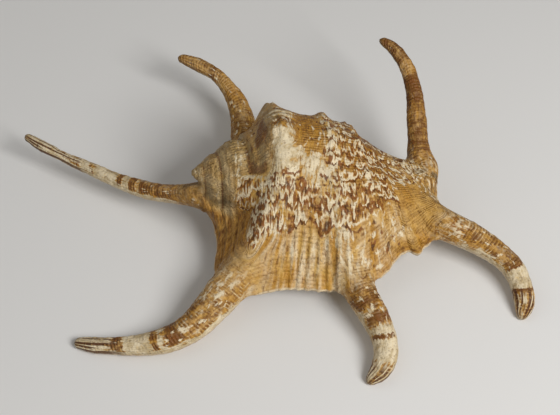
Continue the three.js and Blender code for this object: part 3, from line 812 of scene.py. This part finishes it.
def shell_material(colours):
    material = bpy.data.materials.new("mottled_shell")
    material.use_nodes = True
    material.node_tree.nodes.clear()
    s = Sheet(material.node_tree)
    lines, rows = growth_line_group(), tented_row_group()

    point = s.add("ShaderNodeTexCoord").outputs["Object"]
    across, grown, rim = s.split("growth")
    tip, around_x, around_y = s.split("horn_place")
    horn, spire, under = s.split("zones")
    striped, ringed, _ = s.split("horn_lines")
    broad = s.noise(point, 60, 3, 0.55)
    patchy = s.noise(point, 210, 3, 0.6)
    fine = s.noise(point, 950, 2, 0.6)

    def coat(place, along, stains, hues, tooth, pitch, arcs):
        """The colour of the skin at a place, and its relief."""
        white, flecked, brown = stains
        golden, grey, streaked = hues
        ruled, banded = (
            s.use(lines, Coordinate=along, Point=point, Spacing=spacing, Wander=wander)["Lines"]
            for spacing, wander in ((1.35, 1.6), (3.7, 5))
        )
        streaks = s.grained(place, 2.3, 17, 2, 0.6)
        fibres = s.grained(place, 0.9, 4.5, 2)
        mottle = s.grained(place, 1.5, 2.2)
        sheets = s.times(flecked, 0.72)
        tented = s.use(rows, Place=place, Tooth=tooth, Pitch=pitch, White=sheets, Brown=flecked)

        warm = s.blend(s.step(fibres, 0.38, 0.6), colours.golden, colours.ochre)
        arched = s.times(ruled, s.step(mottle, 0.42, 0.62), s.line(golden, 0.22, arcs))
        stained = s.plus(
            brown, s.swing(patchy, 0.6), s.swing(mottle, 0.7), s.swing(fibres, 0.4), s.swing(banded, 0.15)
        )
        worn = s.blend(s.step(patchy, 0.35, 0.65), colours.grey, colours.stone)
        ragged = s.plus(s.swing(fibres, 1.9), s.times(s.swing(streaks, 2.2), streaked), s.swing(patchy, 1.1))
        ragged = s.times(ragged, s.line(white, 1.6, 0.3, clamp=True))
        bleached = s.step(s.plus(white, ragged), 0.36, 0.62)
        shade = s.plus(patchy, s.swing(fibres, 0.5), s.times(s.swing(streaks, 1), streaked))
        pale = s.blend(s.step(shade, 0.38, 0.68), colours.stone, colours.cream)
        marks = s.blend(s.step(mottle, 0.38, 0.56), colours.dark, colours.brown)
        ground = s.layers(
            s.blend(s.step(broad, 0.4, 0.6), colours.tan, colours.golden),
            (s.times(golden, 0.85), warm),
            (s.times(s.step(streaks, 0.38, 0.62), streaked, 0.68), colours.cream),
            (s.times(s.step(streaks, 0.43, 0.34), streaked, 0.35), colours.ochre),
            (s.times(ruled, s.line(golden, 0.35, 0.3)), colours.ochre),
            (arched, colours.umber),
            (s.times(s.step(ruled, 0.3, 0), s.step(mottle, 0.5, 0.66), arcs), colours.cream),
            (s.times(banded, s.step(patchy, 0.4, 0.62), 0.4), colours.umber),
            # Small light and dark specks.
            (s.times(s.step(fibres, 0.6, 0.68), 0.45), colours.tan),
            (s.times(s.step(fibres, 0.42, 0.32), 0.6), colours.umber),
            (s.times(s.step(stained, 0.35, 0.8), 0.92), colours.umber),
            (s.times(s.step(stained, 0.75, 1.1), 0.7), colours.brown),
            (s.times(grey, 0.9), worn),
            (s.times(bleached, 0.93), pale),
            (s.times(tented["White"], s.step(fibres, 0.34, 0.44), 0.93), colours.cream),
            (s.times(tented["Brown"], s.step(fibres, 0.66, 0.54), 0.93), marks),
        )
        lined = s.times(ruled, s.line(bleached, -0.3, 0.4))
        return ground, s.plus(lined, s.times(fibres, 0.7), s.times(streaks, 0.6))

    place = s.place(across, 0, grown)
    skin, skin_relief = coat(
        place, grown, s.split("stains"), s.split("hues"), tooth=1.05, pitch=5.2, arcs=0
    )

    # On a horn the marks run along it, and the growth lines cross it in arcs.
    arc = s.line(around_y, 1.8, tip)
    place = s.place(s.times(around_x, ROUND_HORN), s.times(around_y, ROUND_HORN), arc)
    cover, cover_relief = coat(
        place, arc, s.split("horn_stains"), HORN_HUES, tooth=0.6, pitch=3.6, arcs=s.times(ringed, 0.7)
    )
    stripes = s.step(s.grained(place, 1.7, 30), 0.5, 0.55)
    stripes = s.times(stripes, s.step(patchy, 0.3, 0.42), striped)
    cover = s.blend(s.times(stripes, 0.95), cover, colours.dark)

    # A pale edge to the lip, the fine grain, and the glossy underside.
    colour = s.layers(
        s.blend(horn, skin, cover),
        (s.times(s.step(rim, 1.3, 0.4), 0.7), colours.cream),
        (s.times(s.step(fine, 0.56, 0.7), 0.34), colours.tan),
        (s.times(s.step(fine, 0.45, 0.3), 0.5), colours.umber),
        (s.step(under, 0.05, 0.8), s.blend(s.step(broad, 0.3, 0.7), colours.lining, colours.cream)),
    )
    rough = s.sum("SUBTRACT", s.line(patchy, 0.3, 0.36), s.times(under, 0.2), clamp=True)
    relief = s.line(horn, s.sum("SUBTRACT", cover_relief, skin_relief), skin_relief)
    relief = s.plus(relief, s.times(fine, 0.65), s.times(patchy, 0.5), s.times(fine, spire, 0.8))
    relief = s.times(relief, s.step(under, 1, 0.2))
    bump = s.add("ShaderNodeBump", {"Height": relief, "Strength": 1, "Distance": RELIEF_DEPTH})

    finish = s.add("ShaderNodeBsdfPrincipled", {
        "Base Color": colour, "Roughness": rough, "Normal": bump.outputs[0], "Specular IOR Level": 0.3,
    })
    output = s.add("ShaderNodeOutputMaterial", {"Surface": finish.outputs[0]})
    material.node_tree.nodes.active = output
    return material


def floor_material(colours):
    material = bpy.data.materials.new("studio_floor")
    material.use_nodes = True
    skin = material.node_tree.nodes["Principled BSDF"].inputs
    skin["Base Color"].default_value = colours.floor
    skin["Roughness"].default_value = 1
    skin["Specular IOR Level"].default_value = 0
    return material


# ---- Settings, operators and panel

def colour_setting(name, description, value):
    return bpy.props.FloatVectorProperty(
        name=name, description=description, default=(*value, 1.0), size=4, subtype="COLOR", min=0.0, max=1.0
    )


def setting(name, description, value, **more):
    return bpy.props.FloatProperty(name=name, description=description, default=value, **more)


class ConchSizes(bpy.types.PropertyGroup):
    grain: setting("Grain", "Size of the surface's smallest faces", 0.00074, min=0.0004, unit="LENGTH")
    cord_spacing: setting("Cord Spacing", "Distance between the folds of the lip", 0.00235, unit="LENGTH")
    cord_height: setting("Cord Height", "Height of the folds of the lip", 0.00048, unit="LENGTH")


class ConchColours(bpy.types.PropertyGroup):
    cream: colour_setting("Cream", "White parts and the lip's edge", (0.75, 0.64, 0.44))
    tan: colour_setting("Tan", "Pale ground", (0.64, 0.39, 0.10))
    golden: colour_setting("Golden", "Warm ground", (0.51, 0.255, 0.032))
    ochre: colour_setting("Ochre", "Growth lines", (0.30, 0.120, 0.010))
    umber: colour_setting("Umber", "Broad brown stains", (0.150, 0.053, 0.005))
    brown: colour_setting("Brown", "Brown marks", (0.215, 0.066, 0.006))
    dark: colour_setting("Dark Brown", "Darkest marks", (0.080, 0.022, 0.002))
    grey: colour_setting("Grey", "Worn spire", (0.25, 0.165, 0.075))
    stone: colour_setting("Stone", "Worn spire's lighter parts", (0.50, 0.39, 0.22))
    lining: colour_setting("Lining", "Round the mouth", (0.62, 0.42, 0.27))
    floor: colour_setting("Floor", "The studio's floor", (0.74, 0.73, 0.71))


class ConchStudio(bpy.types.PropertyGroup):
    aim: bpy.props.FloatVectorProperty(
        name="Aim", description="Point that the camera looks at", unit="LENGTH",
        default=(0.00413, -0.00903, 0.02465),
    )
    height_angle: setting(
        "Height Angle", "How far down the camera looks", math.radians(52), subtype="ANGLE"
    )
    distance: setting("Distance", "From the camera to its aim", 0.551, unit="LENGTH")
    lens: setting("Lens", "Focal length of the camera, in mm", 85.0)
    key_power: setting("Key Power", "Power of the main light, in watts", 6.8)
    fill_power: setting("Fill Power", "Power of the fill light, in watts", 1.25)


# Each light's name, place and size, and the setting that holds its power.
LIGHTS = (
    ("key_light", (0.50, -0.46, 0.62), 0.40, "key_power"),
    ("fill_light", (-0.55, 0.10, 0.75), 0.9, "fill_power"),
)
FLOOR_SIZE = 6.0
AIR = {"Color": (0.95, 0.93, 0.90, 1.0), "Strength": 0.21}
SENSOR_WIDTH = 36.0
NEAREST = 0.01  # the camera sees nothing closer
WELD = 0.00001


class CONCH_OT_make_shell(bpy.types.Operator):
    """Carve and colour the shell over its solid"""

    bl_idname = "conch.make_shell"
    bl_label = "Make Shell"

    def execute(self, context):
        sizes = context.scene.conch_sizes
        bpy.ops.object.select_all(action="DESELECT")
        shell = bpy.data.objects.new("conch_shell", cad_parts["shell"].data.copy())
        context.scene.collection.objects.link(shell)
        shell.data.materials.clear()
        context.view_layer.objects.active = shell
        shell.select_set(True)
        bpy.ops.object.mode_set(mode="EDIT")
        bpy.ops.mesh.select_all(action="SELECT")
        bpy.ops.mesh.remove_doubles(threshold=WELD)
        bpy.ops.object.mode_set(mode="OBJECT")
        shell.data.remesh_voxel_size = sizes.grain * 1.0
        bpy.ops.object.voxel_remesh()

        surface = Surface(shell.data)
        round_off(surface)
        places = find_places(surface)
        carve(surface, places, sizes)
        marks, horn_marks = stain(surface, places)
        surface.store()
        horns = places.horns
        rings = np.where(np.isin(horns.which, REAR_HORNS), 0.3, 1.0)
        for name, columns in (
            ("growth", (places.mark_across, places.mark_grown, places.rim)),
            ("horn_place", (horns.tip, np.cos(horns.angle), np.sin(horns.angle))),
            ("zones", (places.horn, places.spire, places.under)),
            ("stains", marks[:, :3].T),
            ("hues", marks[:, 3:].T),
            ("horn_stains", horn_marks[:, :3].T),
            ("horn_lines", (horn_marks[:, 3], rings, 0 * rings)),
        ):
            surface.label(name, columns)
        bpy.ops.object.shade_smooth()
        shell.data.materials.append(shell_material(context.scene.conch_colours))
        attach(shell, "root")
        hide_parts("shell")
        if len(shell.data.polygons) < 1000:
            raise RuntimeError("the shell's surface came out empty")
        return {"FINISHED"}


class CONCH_OT_make_stage(bpy.types.Operator):
    """Lay the floor, and set the lights and the camera"""

    bl_idname = "conch.make_stage"
    bl_label = "Make Stage"

    def execute(self, context):
        studio = context.scene.conch_studio
        bpy.ops.object.select_all(action="DESELECT")
        bpy.ops.mesh.primitive_plane_add(size=FLOOR_SIZE)
        floor = context.active_object
        floor.name = "studio_floor"
        floor.data.materials.append(floor_material(context.scene.conch_colours))

        aim = Vector(studio.aim)
        for name, place, size, power in LIGHTS:
            bpy.ops.object.light_add(type="AREA", location=place)
            light = context.active_object
            light.name = name
            light.data.size = size
            light.data.energy = getattr(studio, power)
            light.rotation_euler = (aim - light.location).to_track_quat("-Z", "Y").to_euler()

        world = bpy.data.worlds.new("studio_air")
        context.scene.world = world
        world.use_nodes = True
        for key, value in AIR.items():
            world.node_tree.nodes["Background"].inputs[key].default_value = value

        back = Vector((0.0, -math.cos(studio.height_angle), math.sin(studio.height_angle)))
        bpy.ops.object.camera_add(
            location=aim + back * studio.distance, rotation=(math.pi / 2 - studio.height_angle, 0.0, 0.0)
        )
        camera = context.active_object
        camera.name = "studio_camera"
        camera.data.lens = studio.lens
        camera.data.sensor_width = SENSOR_WIDTH
        camera.data.clip_start = NEAREST
        context.scene.camera = camera
        context.scene.view_settings.view_transform = "Standard"
        return {"FINISHED"}


class CONCH_PT_panel(bpy.types.Panel):
    bl_label = "Spider Conch Shell"
    bl_idname = "CONCH_PT_panel"
    bl_space_type = "VIEW_3D"
    bl_region_type = "UI"
    bl_category = "Conch"

    def draw(self, context):
        scene = context.scene
        for title, settings, operator in (
            ("Shell", scene.conch_sizes, CONCH_OT_make_shell),
            ("Colours", scene.conch_colours, None),
            ("Studio", scene.conch_studio, CONCH_OT_make_stage),
        ):
            box = self.layout.box()
            box.label(text=title)
            for key in settings.__annotations__:
                box.prop(settings, key)
            if operator:
                box.operator(operator.bl_idname)


CLASSES = (ConchSizes, ConchColours, ConchStudio, CONCH_OT_make_shell, CONCH_OT_make_stage, CONCH_PT_panel)


def register():
    for each in CLASSES:
        bpy.utils.register_class(each)
    bpy.types.Scene.conch_sizes = bpy.props.PointerProperty(type=ConchSizes)
    bpy.types.Scene.conch_colours = bpy.props.PointerProperty(type=ConchColours)
    bpy.types.Scene.conch_studio = bpy.props.PointerProperty(type=ConchStudio)


def unregister():
    for name in ("conch_sizes", "conch_colours", "conch_studio"):
        delattr(bpy.types.Scene, name)
    for each in reversed(CLASSES):
        bpy.utils.unregister_class(each)


def main():
    register()
    bpy.ops.conch.make_shell()
    bpy.ops.conch.make_stage()


if __name__ == "__main__":
    main()
